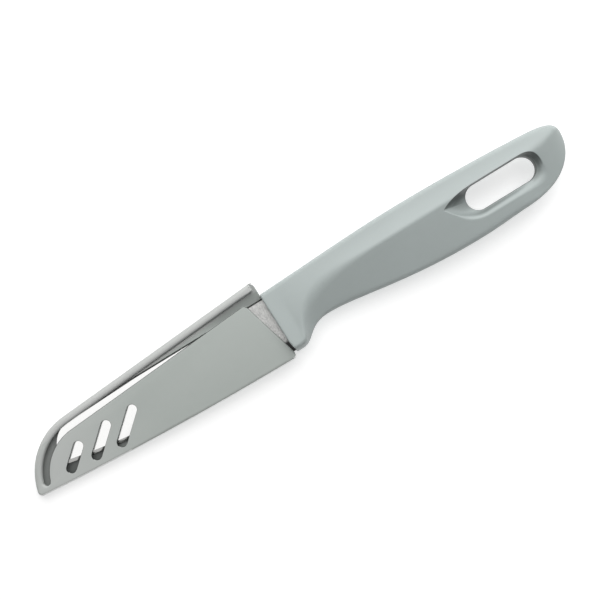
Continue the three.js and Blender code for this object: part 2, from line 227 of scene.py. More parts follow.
def satin_plastic(name, pale, deep, shine, highlight_share):
    """Moulded grey plastic; the last argument scales the painted highlight on rail and nose"""
    material, tree = new_finish(name)
    places = tree.places()
    along, across = tree.from_corner(places)
    drift = tree.noise(places, DRIFT_SCALE)
    cloud = tree.noise(places, CLOUD_SCALE, 3.0)
    grain = tree.noise(places, GRAIN_SCALE, 2.0, 0.6)
    plain = tree.blend(drift * DRIFT_SHARE + cloud * CLOUD_SHARE, deep, pale)
    # painted highlight along the rail and at the nose
    rail = tree.step(across - along * RAIL_SLOPE, *RAIL_PALE) * RAIL_HIGHLIGHT
    nose = tree.step(along, *NOSE_PALE) * NOSE_HIGHLIGHT
    highlighted = tree.blend((rail + nose) * highlight_share, plain, PAINTED_HIGHLIGHT_COLOUR)
    # painted highlight on the outer edge of the underside
    rim = tree.blend(tree.mark("painted_rim_highlight"), highlighted, RIM_HIGHLIGHT_COLOUR)
    # painted shade on the room's floor near the nose and at the vents' feet
    vent_shade = tree.step(across, *VENT_DROP) * tree.step(along, *VENT_RUN) * VENT_PAINTED_SHADE
    floor = tree.mark("floor") * tree.step(along, *FLOOR_RUN) * (FLOOR_PAINTED_SHADE + vent_shade)
    # painted shade on the shelf, strongest towards the mouth
    shelf = tree.mark("shelf") * tree.step(along, *SHELF_RUN) * SHELF_PAINTED_SHADE
    tree.surface({
        # painted shade blended in on marked walls, on the shelf and on the room's floor
        "Base Color": tree.blend(tree.mark("painted_shade") + shelf + floor, rim, PAINTED_SHADE_COLOUR),
        "Roughness": shine + (cloud - 0.5) * CLOUD_SHINE + (grain - 0.5) * GRAIN_SHINE,
        "IOR": PLASTIC_IOR,
        "Normal": tree.bump(GRAIN_STRENGTH, GRAIN_DEPTH, grain + cloud * CLOUD_HEIGHT)})
    return material


handle_plastic = satin_plastic("handle_plastic", linear(176, 185, 184), linear(167, 175, 173), 0.46, 0.0)
sheath_plastic = satin_plastic("sheath_plastic", linear(172, 178, 174), linear(163, 169, 165), 0.48, 1.0)
print("plastics", handle_plastic.name, sheath_plastic.name)

# %% [markdown]
# ## Steel of the blade
# The blade is stamped from stainless sheet. Towards the tip its sides are polished almost to a mirror. Towards the
# handle they keep a satin brushing across the blade, and the border lies aslant. The ground strip is grey. The
# sheared rim is matt, and also painted dark as shade along the spine. The heel's corner in the guard is painted
# nearly black, as the shade of the deep gap there. Stretched noise draws the brush lines, the place on the blade
# says where satin and the heel's painted shade are, and marks on the mesh say which faces are sheared or ground.

# %% Steel finish
SATIN_LEAN, SATIN_RUN = 2.0, (-0.036, -0.01)
HEEL_RUN, HEEL_DROP = (-0.0024, -0.0014), (-0.0156, -0.0168)
FINE_BRUSH, COARSE_BRUSH, PATCH_SCALE = (7000, 1500, 7000), (3000, 420, 3000), 1600
FINE_SHARE, STREAK_SHARE, STREAK_RANGE = 0.65, 0.75, (0.36, 0.64)
BRUSH_DARK, BRUSH_PALE = (0.17, 0.172, 0.17, 1), (0.42, 0.42, 0.41, 1)
POLISH_DARK, POLISH_PALE = (0.88, 0.88, 0.87, 1), (1.0, 1.0, 0.99, 1)
# the sheared rim is also painted dark as shade; the heel's corner gets nearly black painted shade
SHEARED_SHADE_COLOUR, HEEL_PAINTED_SHADE = (0.13, 0.13, 0.13, 1), (0.03, 0.03, 0.03, 1)
POLISH_ROUGH, SATIN_ROUGH, SHEARED_ROUGH = 0.15, 0.25, 0.3
SCRATCH_ROUGH, BRUSH_ROUGH = 0.08, 0.2
BRUSH_STRENGTH, BRUSH_DEPTH, POLISH_RELIEF = 0.2, 0.00001, 0.15


def blade_finish(name):
    material, tree = new_finish(name)
    places = tree.places()
    along, across = tree.from_corner(places)
    satin = tree.step(along - across * SATIN_LEAN, *SATIN_RUN)
    # nearly black painted shade in the gap at the heel, by the guard's foot
    heel_shade = tree.step(along, *HEEL_RUN) * tree.step(across, *HEEL_DROP)
    # sheared faces are matt, and also painted dark as shade along the spine
    sheared = tree.mark("sheared")
    fine, coarse = tree.brushed(places, FINE_BRUSH, 0.6), tree.brushed(places, COARSE_BRUSH, 0.5)
    scratch = fine * FINE_SHARE + coarse * (1 - FINE_SHARE)
    patchy = scratch * STREAK_SHARE + tree.noise(places, PATCH_SCALE) * (1 - STREAK_SHARE)
    streaks = tree.node("ShaderNodeMapRange", None, {
        "Value": patchy, "From Min": STREAK_RANGE[0], "From Max": STREAK_RANGE[1]})
    polished = tree.blend(scratch, POLISH_DARK, POLISH_PALE)
    sides = tree.blend(satin, polished, tree.blend(streaks, BRUSH_DARK, BRUSH_PALE))
    ground = tree.blend(tree.mark("ground"), sides, BRUSH_PALE)
    even = POLISH_ROUGH + satin * SATIN_ROUGH + sheared * SHEARED_ROUGH
    tree.surface({
        "Base Color": tree.blend(heel_shade, tree.blend(sheared, ground, SHEARED_SHADE_COLOUR), HEEL_PAINTED_SHADE),
        "Roughness": even + (scratch - 0.5) * (SCRATCH_ROUGH + satin * BRUSH_ROUGH),
        "Metallic": 1.0,
        "Normal": tree.bump(BRUSH_STRENGTH, BRUSH_DEPTH, scratch * (POLISH_RELIEF + satin))})
    return material


blade_steel = blade_finish("blade_steel")
print("steel", blade_steel.name)

# %% [markdown]
# ## From points to a piece
# Every piece is worked out in knife millimetres as points and faces. One helper merges the doubles and turns all
# faces outwards. Another shades the piece smooth and moves the mesh into the frame, so that the object itself stays
# at the origin.

# %% Piece makers
DOUBLES = 1e-4


def millimetre_mesh(name, points, faces):
    """An object still in knife millimetres, with doubles merged and faces turned outwards"""
    mesh = bpy.data.meshes.new(name)
    mesh.from_pydata(np.asarray(points, float).tolist(), [], faces)
    shell = bmesh.new()
    shell.from_mesh(mesh)
    bmesh.ops.remove_doubles(shell, verts=shell.verts, dist=DOUBLES)
    bmesh.ops.recalc_face_normals(shell, faces=shell.faces)
    shell.to_mesh(mesh)
    shell.free()
    return placed(name, mesh)


def applied(piece):
    """Turn what the modifiers make into the object's own mesh"""
    bpy.context.view_layer.update()
    graph = bpy.context.evaluated_depsgraph_get()
    mesh = bpy.data.meshes.new_from_object(piece.evaluated_get(graph))
    piece.modifiers.clear()
    piece.data = mesh


def places_of(piece):
    """Points of a piece as rows of x, y, z"""
    places = np.empty(len(piece.data.vertices) * 3)
    piece.data.vertices.foreach_get("co", places)
    return places.reshape(-1, 3)


def set_mark(piece, name, values):
    """One value per face, for the finish to read"""
    piece.data.attributes.new(name, "FLOAT", "FACE").data.foreach_set("value", values.astype(float))


def finished(piece, material):
    """Give a millimetre piece its finish and its place in the frame"""
    mesh = piece.data
    mesh.vertices.foreach_set("co", to_frame(places_of(piece)).ravel())
    mesh.materials.clear()
    mesh.materials.append(material)
    for face in mesh.polygons:
        face.use_smooth = True
        face.material_index = 0
    mesh.update()
    shell = bmesh.new()
    shell.from_mesh(mesh)
    loose = sum(1 for edge in shell.edges if len(edge.link_faces) != 2)
    print(piece.name, len(mesh.polygons), "faces,", loose, "open edges,",
          round(shell.calc_volume() / MM ** 3), "cubic millimetres")
    shell.free()


print("helpers ready")

# %% [markdown]
# ## The handle's lines
# A moulded handle is drawn with a few long lines: back, belly, half thickness, and the crest where its two facets
# meet. Each is a chain of cubic curves through a few points with a slope at each, which keeps it as calm as on the
# real one. The crest starts at the foot of the finger guard, climbs round it and runs straight along the grip.

# %% Lines along the handle
LINE_STEPS = 160
HANDLE_LENGTH = 113.7


def arrays(*points):
    return [np.asarray(point, float) for point in points]


def cubic(first, near, far, last, steps):
    """Points of a cubic curve that leaves towards near and arrives from far"""
    t = np.linspace(0, 1, steps)[:, None]
    u = 1 - t
    first, near, far, last = arrays(first, near, far, last)
    return u ** 3 * first + 3 * u * u * t * near + 3 * u * t * t * far + t ** 3 * last


def line_through(start, *stretches):
    """Points of a smooth line; a stretch is x, y, slope (None if upright), and how far it leaves and arrives"""
    x, y, slope = start
    points = [[(x, y)]]
    for to_x, to_y, to_slope, leave, arrive in stretches:
        run = to_x - x
        near = (x + leave * run, y + leave * run * slope)
        if to_slope is None:
            far = (to_x, to_y + arrive * (y - to_y))
        else:
            far = (to_x - arrive * run, to_y - arrive * run * to_slope)
        points.append(cubic((x, y), near, far, (to_x, to_y), LINE_STEPS)[1:])
        x, y, slope = to_x, to_y, to_slope
    return np.vstack(points)


def at(line, x):
    """Height of a line at x"""
    return np.interp(x, line[:, 0], line[:, 1])


BACK = line_through((0, 1.8, 0.035), (51.5, 3.5, 0, 0.4, 0.3), (103, 1.5, -0.075, 0.4, 0.2),
                    (HANDLE_LENGTH, -4.2, None, 0.9, 0.5))
BELLY = line_through((0, -21, 0), (3, -21, 0, 0.5, 0.5), (16.3, -15.4, 0, 0.38, 0.6),
                     (73, -20.8, 0, 0.2, 0.5), (92, -20, 0.03, 0.4, 0.3),
                     (HANDLE_LENGTH, -4.2, None, 0.74, 0.43))
SIDE = line_through((0, 5.3, 0), (51.5, 7, 0, 0.3, 0.4), (104, 5.2, -0.12, 0.5, 0.3),
                    (HANDLE_LENGTH, 0, None, 0.45, 0.75))
CREST = line_through((5.5, -20.9, 6), (30, -4.5, 0.05, 0.08, 0.65), (100, -4.4, 0, 0.1, 0.3),
                     (HANDLE_LENGTH, -1.5, 0.3, 0.4, 0.3))
LOWER_ROUND = line_through((0, 1.4, 0), (6, 1.4, 0, 0.3, 0.3), (30, 7.5, 0, 0.4, 0.4),
                           (HANDLE_LENGTH, 7.5, 0, 0.3, 0.3))
UPPER_ROUND = line_through((0, 0.9, 0), (40, 1.4, 0, 0.5, 0.4), (HANDLE_LENGTH, 1.8, 0, 0.3, 0.3))
RIDGE = line_through((0, 0.36, 0), (46, 0.07, 0, 0.6, 0.4), (93, 0.06, 0, 0.3, 0.3),
                     (HANDLE_LENGTH, 0.3, 0, 0.3, 0.5))
print("handle is", round(at(BACK, 60) - at(BELLY, 60), 1), "mm deep at the middle of the grip")

# %% [markdown]
# The section is the lowest of four curves: the upper facet, the lower facet, and a rounding towards the back and
# towards the belly. A smooth minimum rolls each into the next, so that the crest is a soft ridge, softest at the
# guard and at the far end. Along the grip the upper facet is slightly hollow.

# %% Skin of the handle
BACK_FALL, BELLY_FALL = 0.25, 0.8
HIP_FALL, HIP_RUN = -0.06, (48, 76)
TAIL_FALL, TAIL_RUN = 0.24, (90, 103)
BACK_HOLLOW, HOLLOW_RUN = 0.8, (8, 36)
CREST_MARGIN, MOST_ROUND, END_ROLL = 0.1, 0.6, 0.17


def ease(value, low, high):
    """Smooth step from 0 at low to 1 at high"""
    t = np.clip((value - low) / (high - low), 0, 1)
    return t * t * (3 - 2 * t)


def soft_min(first, second, width):
    """The lower of two heights, rolled into each other over a width"""
    mix = np.clip(0.5 + 0.5 * (second - first) / width, 0, 1)
    return second * (1 - mix) + first * mix - width * mix * (1 - mix)


def skin(x, y):
    """Half thickness of the plain handle at a point of its broad side"""
    back, belly = at(BACK, x), at(BELLY, x)
    crest = np.clip(at(CREST, x), belly + CREST_MARGIN, back - CREST_MARGIN)
    ridge = at(RIDGE, x)
    share = np.clip((y - crest) / (back - crest), -1, 1)
    hollow = BACK_HOLLOW * ease(x, *HOLLOW_RUN)
    upper = 1 + ridge / 4 - BACK_FALL * share * (1 + hollow * (1 - np.abs(share)))
    fall = BELLY_FALL + HIP_FALL * ease(x, *HIP_RUN) + TAIL_FALL * ease(x, *TAIL_RUN)
    lower = 1 + ridge / 4 - fall * (crest - y) / (crest - belly)
    most = MOST_ROUND * (back - belly)
    top = np.sqrt(np.maximum(back - y, 0) / np.minimum(at(UPPER_ROUND, x), most))
    foot = np.sqrt(np.maximum(y - belly, 0) / np.minimum(at(LOWER_ROUND, x), most))
    facets = soft_min(upper, lower, ridge)
    return at(SIDE, x) * soft_min(facets, soft_min(top, foot, END_ROLL), END_ROLL)


print("half thickness on the crest", round(float(skin(50.0, at(CREST, 50.0))), 2), "mm")

# %% [markdown]
# The front of the handle, up to the slot, is a loft: one half ring of points per station, spaced evenly round the
# section. The first few rings shrink on a quarter circle to round the front edge. The front face leans back a
# little, and more at its foot, as a mould's draft does.

# %% Grip rings
ROWS, TRIES = 56, 800
SEAM_X = 60.0
FRONT_ROUND, FRONT_RINGS, GRIP_RINGS = 0.6, 6, 76
FRONT_LEAN, LEAN_DROP = 0.25, (0, -16)
FOOT_LEAN, FOOT_DROP = 0.6, (-16, -20.5)
LEAN_FADE = 4


def evenly(points, count):
    """Points at even distances along a polyline"""
    length = np.concatenate([[0], np.cumsum(np.linalg.norm(np.diff(points, axis=0), axis=1))])
    marks = np.linspace(0, length[-1], count)
    return np.column_stack([np.interp(marks, length, points[:, i]) for i in range(2)])


def columns(*parts):
    return np.column_stack(parts)


def half_ring(x):
    """Front half of the section at x, from belly to back, as y and z"""
    back, belly = at(BACK, x), at(BELLY, x)
    y = belly + (back - belly) * (1 - np.cos(np.linspace(0, np.pi, TRIES))) / 2
    ring = evenly(columns(y, skin(np.full_like(y, x), y)), ROWS + 1)
    ring[[0, -1], 1] = 0
    return ring.T


def front_lean(y):
    """How far the front face stands back at a height"""
    return FRONT_LEAN * ease(y, *LEAN_DROP) + FOOT_LEAN * ease(y, *FOOT_DROP)


def grip():
    rings = []
    for turn in np.linspace(0, math.pi / 2, FRONT_RINGS):
        x = FRONT_ROUND * (1 - math.cos(turn))
        inset = FRONT_ROUND * (1 - math.sin(turn))
        y, z = half_ring(x)
        middle = (y[0] + y[-1]) / 2
        y = middle + (y - middle) * (1 - 2 * inset / (y[-1] - y[0]))
        rings.append(columns(np.full_like(y, x), y, z * (1 - inset / z.max())))
    for x in np.linspace(FRONT_ROUND, SEAM_X, GRIP_RINGS)[1:]:
        y, z = half_ring(x)
        rings.append(columns(np.full_like(y, x), y, z))
    rings = np.array(rings)
    rings[..., 0] += front_lean(rings[..., 1]) * ease(rings[..., 0], LEAN_FADE, 0)
    return rings


GRIP = grip()
print("grip", GRIP.shape[0], "half rings of", GRIP.shape[1], "points")

# %% [markdown]
# ## The hanging slot
# Behind the grip the handle is pierced by a slot for a hook, and a scoop leads into it like a thumb print. A
# boolean would leave a hard, torn rim there. Instead the tail is woven as spokes: each starts in the wall of the
# slot, rounds its edge, climbs the scoop, rolls over the rim and runs on to the handle's outline. The rim is crisp
# towards the back and soft towards the belly.

# %% Outline of the slot and of the scoop's rim
SLOT_Y, SLOT_RADIUS, SLOT_WEB = -8.5, 4.35, 1.3
SLOT_LEFT, SLOT_RIGHT = 79.05, 96.35
SCOOP_TOP, SCOOP_FOOT = -3.65, -14.75
SCOOP_LEAD, LEAD_LOW_X, LEAD_HIGH_X = (66.0, -6.325), 71.8, 70.35
SCOOP_TAIL = (102.6, SLOT_Y - 1.0)
ARC_STEPS = 40


def arc_between(first, corner, last, steps=ARC_STEPS):
    """A quadratic curve from first to last that heads for the corner"""
    t = np.linspace(0, 1, steps)[:, None]
    first, corner, last = arrays(first, corner, last)
    return (1 - t) ** 2 * first + 2 * t * (1 - t) * corner + t * t * last


RIM = np.vstack([
    arc_between((SLOT_LEFT, SCOOP_FOOT), (LEAD_LOW_X, SCOOP_FOOT), SCOOP_LEAD),
    arc_between(SCOOP_LEAD, (LEAD_HIGH_X, SCOOP_TOP), (SLOT_LEFT, SCOOP_TOP)),
    arc_between((SLOT_RIGHT, SCOOP_TOP), (SCOOP_TAIL[0], SCOOP_TOP), SCOOP_TAIL),
    arc_between(SCOOP_TAIL, (SCOOP_TAIL[0], SCOOP_FOOT), (SLOT_RIGHT, SCOOP_FOOT)),
])


def inside(outline, x, y):
    """Which points lie inside a closed outline"""
    x1, y1 = outline[:, 0], outline[:, 1]
    x2, y2 = np.roll(x1, -1), np.roll(y1, -1)
    x, y = np.asarray(x)[..., None], np.asarray(y)[..., None]
    spans = (y1 > y) != (y2 > y)
    with np.errstate(divide="ignore", invalid="ignore"):
        crossing = x1 + (y - y1) * (x2 - x1) / (y2 - y1)
    return (np.sum(spans & (x < crossing), axis=-1) % 2) == 1


print("rim of", len(RIM), "points")

# %% [markdown]
# A spoke points away from the slot's middle line, so the spokes are square to its straight sides and fan out at
# its round ends. Towards the grip they end on the points of the last ring, so that the two halves of the handle
# weld without a gap.

# %% Spokes from the slot to the handle's outline
STRAIGHT_SPOKES, END_SPOKES, SHOULDER_SPOKES = 44, 90, 26


def stretch(line, start, stop):
    """The part of a line between two places along the handle, in that order"""
    low, high = min(start, stop), max(start, stop)
    between = line[(line[:, 0] > low) & (line[:, 0] < high)]
    points = np.vstack([[low, at(line, low)], between, [high, at(line, high)]])
    return points if start < stop else points[::-1]


def slot_spokes():
    """Starts on the slot and ends on the handle's outline, all round"""
    there = np.linspace(SLOT_LEFT, SLOT_RIGHT, STRAIGHT_SPOKES)[:-1]
    back = there[::-1] + (SLOT_RIGHT - there[-1])
    end = np.vstack([stretch(BELLY, SLOT_RIGHT, HANDLE_LENGTH), stretch(BACK, HANDLE_LENGTH, SLOT_RIGHT)])
    y = half_ring(SEAM_X)[0][::-1]
    outer = np.vstack([
        columns(there, at(BELLY, there)),
        evenly(end, END_SPOKES)[:-1],
        columns(back, at(BACK, back)),
        evenly(stretch(BACK, SLOT_LEFT, SEAM_X), SHOULDER_SPOKES)[:-1],
        columns(np.full_like(y, SEAM_X), y),
        evenly(stretch(BELLY, SEAM_X, SLOT_LEFT), SHOULDER_SPOKES)[1:-1],
    ])
    centre = columns(np.clip(outer[:, 0], SLOT_LEFT, SLOT_RIGHT), np.full(len(outer), SLOT_Y))
    away = outer - centre
    inner = centre + SLOT_RADIUS * away / np.linalg.norm(away, axis=1)[:, None]
    return inner, outer


SPOKE_IN, SPOKE_OUT = slot_spokes()
print(len(SPOKE_IN), "spokes")

# %% [markdown]
# Along a spoke the height is the lower of two surfaces: the ramp of the scoop and the skin of the handle. A smooth
# minimum rolls one into the other, over a width that is set for each spoke. Towards the grip the ramp is bent,
# which makes the scoop a shallow dish.

# %% Heights along the spokes
LEAST_WIDE, SLOT_EDGE, EDGE_SHARE = 0.45, 0.35, 0.4
CRISP_ROLL, SOFT_ROLL, SOFT_DROP = 0.25, 1.5, (-9.5, -13.8)
ROLL_REACH, ROLL_SHARE = 1.2, 0.4
LEAD_BEND, LEAD_RUN = 0.5, (80, 70)
EDGE_RINGS, RAMP_RINGS, ROLL_RINGS, FACE_RINGS = 6, 14, 10, 18


def tail_surface():
    """Front half of the tail: rings from the slot's middle to the outline, one point per spoke"""
    run = SPOKE_OUT - SPOKE_IN
    length = np.linalg.norm(run, axis=1)
    probe = SPOKE_IN[:, None, :] + run[:, None, :] * np.linspace(0, 1, TRIES)[None, :, None]
    within = inside(RIM, probe[..., 0], probe[..., 1])
    wide = np.maximum(np.sum(within, axis=1) / TRIES * length, LEAST_WIDE)
    rim = SPOKE_IN + run * (wide / length)[:, None]
    roll = CRISP_ROLL + (SOFT_ROLL - CRISP_ROLL) * ease(rim[:, 1], *SOFT_DROP)
    bend = 1 + LEAD_BEND * ease(rim[:, 0], *LEAD_RUN)
    rim_height = skin(rim[:, 0], rim[:, 1])
    edge = np.minimum(SLOT_EDGE, wide * EDGE_SHARE)
    roll_end = wide + np.minimum(ROLL_REACH * roll, ROLL_SHARE * (length - wide))

    def ramp(far):
        share = far / wide
        inner_part = np.clip(share, 0, 1) ** bend
        return SLOT_WEB + (rim_height - SLOT_WEB) * (inner_part + bend * np.maximum(share - 1, 0))

    def surface(far):
        spot = SPOKE_IN + run * (far / length)[:, None]
        return columns(spot, soft_min(ramp(far), skin(spot[:, 0], spot[:, 1]), roll))

    wall = SLOT_WEB - edge
    rings = [columns(SPOKE_IN, wall * share) for share in (0, 0.5)]
    for turn in np.linspace(0, math.pi / 2, EDGE_RINGS)[:-1]:
        spot = SPOKE_IN + run * (edge * (1 - math.cos(turn)) / length)[:, None]
        rings.append(columns(spot, wall + (ramp(edge) - wall) * math.sin(turn)))
    for start, stop, count in ((edge, wide, RAMP_RINGS), (wide, roll_end, ROLL_RINGS)):
        rings += [surface(start + (stop - start) * share) for share in np.linspace(0, 1, count)[:-1]]
    for share in np.linspace(0, 1, FACE_RINGS):
        rings.append(surface(roll_end + (length - roll_end) * math.sin(share * math.pi / 2)))
    return np.array(rings)


TAIL = tail_surface()
print("tail", TAIL.shape[0], "rings of", TAIL.shape[1], "points")

# %% [markdown]
# The two grids and their mirror images on the back are welded where they meet: along the outline, along the
# middle of the slot's wall, and on the seam between grip and tail.

# %% Weave the handle
def grid_faces(rows, columns, start, closed):
    """Four-sided faces over a grid of points, whose rows are closed rings or open lines"""
    faces = []
    for row in range(start, start + (rows - 1) * columns, columns):
        for j in range(columns if closed else columns - 1):
            k = (j + 1) % columns
            faces.append((row + j, row + k, row + columns + k, row + columns + j))
    return faces


def handle_piece():
    points, faces = [], []
    flip = np.array([1, 1, -1])
    for grid, closed in ((GRIP, False), (TAIL, True)):
        for side in (1, flip):
            faces += grid_faces(grid.shape[0], grid.shape[1], len(points), closed)
            points += (grid.reshape(-1, 3) * side).tolist()
    back_start = GRIP.shape[0] * GRIP.shape[1]
    for j in range(ROWS):
        faces.append((j, j + 1, back_start + j + 1, back_start + j))
    return millimetre_mesh("handle_skin", points, faces)


handle_skin = handle_piece()
print("handle", len(handle_skin.data.polygons), "faces")

# %% [markdown]
# Little light reaches the deep end of the scoop, so its walls get painted shade: the deeper and steeper a face, the
# darker, except where it faces the lamp. The small rounding of the slot's edge gets painted shade all round, which
# draws a fine dark line.

# %% Mark the slot's walls and finish the handle
# painted shade on the scoop's walls, and a painted dark line round the slot's edge
SLOT_DARK, WALL_DARK, LIP_DARK = 0.45, 0.7, 0.8
WALL_TILT, LIP_TILT = (0.9, 0.45), (0.85, 0.4)
SHADE_START, SHADE_FULL, END_FULL = 0.3, 3.0, 1.4
END_BEFORE, END_BEYOND = 4, 3
LAMPWARDS, END_LAMPWARDS = np.array([0.5, -0.1]), np.array([0.75, 0.35])


def faces_of(piece):
    """Middles and normals of all faces"""
    polygons = piece.data.polygons
    return np.array([face.center for face in polygons]), np.array([face.normal for face in polygons])


def mark_handle():
    middles, normals = faces_of(handle_skin)
    x, y, z = middles.T
    tilt = np.abs(normals[:, 2])
    far_end = ease(x, SLOT_RIGHT - END_BEFORE, SLOT_RIGHT + END_BEYOND)
    depth = skin(x, y) - np.abs(z)
    shade = ease(depth, SHADE_START, SHADE_FULL + (END_FULL - SHADE_FULL) * far_end)
    shade *= SLOT_DARK + (WALL_DARK - SLOT_DARK) * ease(tilt, *WALL_TILT)
    bright, dark = (LAMPWARDS + (END_LAMPWARDS - LAMPWARDS) * far_end[:, None]).T
    shade = np.maximum(shade * ease(normals[:, 1], bright, dark), LIP_DARK * ease(tilt, *LIP_TILT))
    scoop = inside(RIM, x, y)
    set_mark(handle_skin, "painted_shade", np.where(scoop, shade, 0))
    print("scoop of the slot", int(scoop.sum()), "faces")


mark_handle()
finished(handle_skin, handle_plastic)

# %% [markdown]
# ## The sheath's lines
# The sheath is a flat pocket. From above its outline is a straight rail along the spine, a rounded nose, a tight
# corner and a nearly straight underside. All inner lines keep a fixed distance from these, so they are made by
# moving the outer line inwards.

# %% Outline of the sheath
MOUTH_X = -0.1
RAIL_FAR = (-77.0, 1.4)
NOSE_PULLS, NOSE_END = ((-87, 0.686), (-95, -6.5)), (-97.0, -15.9)
FOOT_CORNER, FOOT_START = (-97.0, -17.7), (-95.2, -17.7)
FOOT_PULL, FOOT_END = (-48.5, -22.0), (MOUTH_X, -22.4)
TOP_ROUND, LOW_ROUND = 2.2, 1.2
RAIL_STEPS, NOSE_STEPS, CORNER_STEPS, FOOT_STEPS, BEND_STEPS = 18, 40, 10, 30, 7


def rail_at(x):
    return RAIL_FAR[1] + RAIL_SLOPE * (x - RAIL_FAR[0])


def upper_line(start):
    """Rail and nose, from a place at the mouth to the lower corner of the nose"""
    straight = [(x, rail_at(x)) for x in np.linspace(start, RAIL_FAR[0], RAIL_STEPS)[:-1]]
    return np.vstack([straight, cubic(RAIL_FAR, *NOSE_PULLS, NOSE_END, NOSE_STEPS)])


def lower_line():
    """Underside, from the nose to the mouth"""
    return arc_between(FOOT_START, FOOT_PULL, FOOT_END, FOOT_STEPS)


def leftwards(run):
    """Steps of length 1 to the left of each stretch of a line"""
    along = run / np.linalg.norm(run, axis=1)[:, None]
    return columns(-along[:, 1], along[:, 0])


def inset(line, distance):
    """A line moved to its left"""
    return line + distance * leftwards(np.gradient(line, axis=0))


def rounded_corner(before, corner, after, radius, steps=BEND_STEPS):
    """A small curve in place of a corner"""
    before, corner, after = arrays(before, corner, after)
    first, last = (corner + radius * (end - corner) / np.linalg.norm(end - corner) for end in (before, after))
    return arc_between(first, corner, last, steps)


def sheath_outline():
    upper, lower = upper_line(MOUTH_X), lower_line()
    top = rounded_corner(lower[-1], upper[0], upper[1], TOP_ROUND)
    low = rounded_corner(lower[-2], lower[-1], upper[0], LOW_ROUND)
    foot = arc_between(NOSE_END, FOOT_CORNER, FOOT_START, CORNER_STEPS)
    return np.vstack([top, upper[1:-1], foot, lower[1:-1], low])


OUTLINE = sheath_outline()
print("sheath is", round(np.ptp(OUTLINE[:, 0]), 1), "by", round(np.ptp(OUTLINE[:, 1]), 1), "mm")

# %% [markdown]
# The blank is that outline with softened edges on both faces. It is built ring by ring, because rings that shrink
# step by step give the edge any profile: here a short rounding and a flat sloping band, wide along rail and nose
# and narrow along the underside.

# %% Blank of the sheath
SHEATH_HALF = 2.1
RAIL_BAND, FOOT_BAND = 1.1, 0.6
BAND = np.array([(0, 1), (0.03, 0.8), (0.1, 0.62), (0.2, 0.48), (0.33, 0.37), (1, 0)])
SIDE_NOSE, SIDE_MOUTH, SIDE_FADE, MOUTH_FADE = -14, -10, 3, 2


def shrink(loop, distance):
    """A closed line, anticlockwise, moved inwards with its corners kept"""
    first = leftwards(loop - np.roll(loop, 1, axis=0))
    second = np.roll(first, -1, axis=0)
    join = (first + second) / (1 + np.sum(first * second, axis=1))[:, None]
    return loop + np.reshape(distance, (-1, 1)) * join


def stacked(name, rings):
    """A closed solid from rings of equal count, with flat ends"""
    count = len(rings[0])
    faces = grid_faces(len(rings), count, 0, True)
    faces += [tuple(range(start, start + count)) for start in (0, (len(rings) - 1) * count)]
    return millimetre_mesh(name, np.vstack(rings), faces)


def level_ring(loop, height):
    return columns(loop, np.full(len(loop), height))


def slab(name, loop, half):
    """A solid between two levels"""
    return stacked(name, [level_ring(loop, -half), level_ring(loop, half)])


def rail_side():
    """1 along the rail and the nose, 0 along the underside and at the mouth"""
    middle = np.interp(OUTLINE[:, 0], [NOSE_END[0], MOUTH_X], [SIDE_NOSE, SIDE_MOUTH])
    above = ease(OUTLINE[:, 1], middle - SIDE_FADE, middle + SIDE_FADE)
    return above * ease(OUTLINE[:, 0], MOUTH_X, MOUTH_X - MOUTH_FADE)


def sheath_blank():
    rings = []
    band = FOOT_BAND + (RAIL_BAND - FOOT_BAND) * rail_side()
    for inwards, drop in BAND[::-1]:
        rings.append(columns(shrink(OUTLINE, band * inwards), -SHEATH_HALF + band * drop))
    upper = [ring * np.array([1, 1, -1]) for ring in reversed(rings)]
    return stacked("sheath_shell", rings + upper)


sheath_shell = sheath_blank()
print("blank", len(sheath_shell.data.polygons), "faces")

# %% [markdown]
# Two cutters open the pocket. The first is the room for the blade, open at the mouth. Its upper wall keeps close to
# the spine, which leaves a shelf beside it. Towards the nose it reaches a little under the rail, so that the two
# cutters never share a wall.

# %% Cutter for the room
ROOM_HALF = 0.9
RAIL_WIDTH, EDGE_WALL = 2.7, 1.5
SPINE_ROOM, UNDERCUT = 0.25, 0.8
REACH = 12.0


def room_cutter():
    floor = inset(lower_line(), EDGE_WALL)
    floor = np.vstack([floor, floor[-1] + [REACH, 0]])
    rail = inset(upper_line(REACH), RAIL_WIDTH - UNDERCUT)
    rail = rail[rail[:, 1] > at(floor, rail[:, 0])]
    rail[:, 1] = np.minimum(rail[:, 1], SPINE_ROOM)
    return slab("room_cutter", np.vstack([rail, floor[floor[:, 0] > rail[-1, 0]]]), ROOM_HALF)


room = room_cutter()
print("room cutter", len(room.data.vertices), "points")

# %% [markdown]
# The second cutter takes the front plate away along the rail, down to the shelf: a slit from the mouth round the
# nose, with a half circle at its end. It also slants the plate's front end and rounds the end of the rail. Its
# walls flare near the top, which rolls the rail's inner edge. The flare stops short of level, because a cutter that
# leaves a face at a clear angle leaves no slivers.

# %% Cutter for the slit
SHELF = 0.4
SLIT_WIDTH, SLIT_FOOT, HALF_CIRCLE = 2.4, 2.3, 16
RAIL_END, RAIL_END_ROUND, RAIL_BEHIND, RAIL_OVER = -1.3, 0.8, 2, 3
MOUTH_CUT, MOUTH_FOOT, PLATE_CORNER, MOUTH_PAST = 6.5, 2.6, 1.1, 0.25
RAIL_ROLL, PLATE_ROLL, END_ROLL_WIDTH, ROLL_SETTLED = 1.0, 0.3, 0.4, -8
ROLL_STEPS, ROLL_TURN, ROLL_RISE = 6, math.radians(80), 0.06


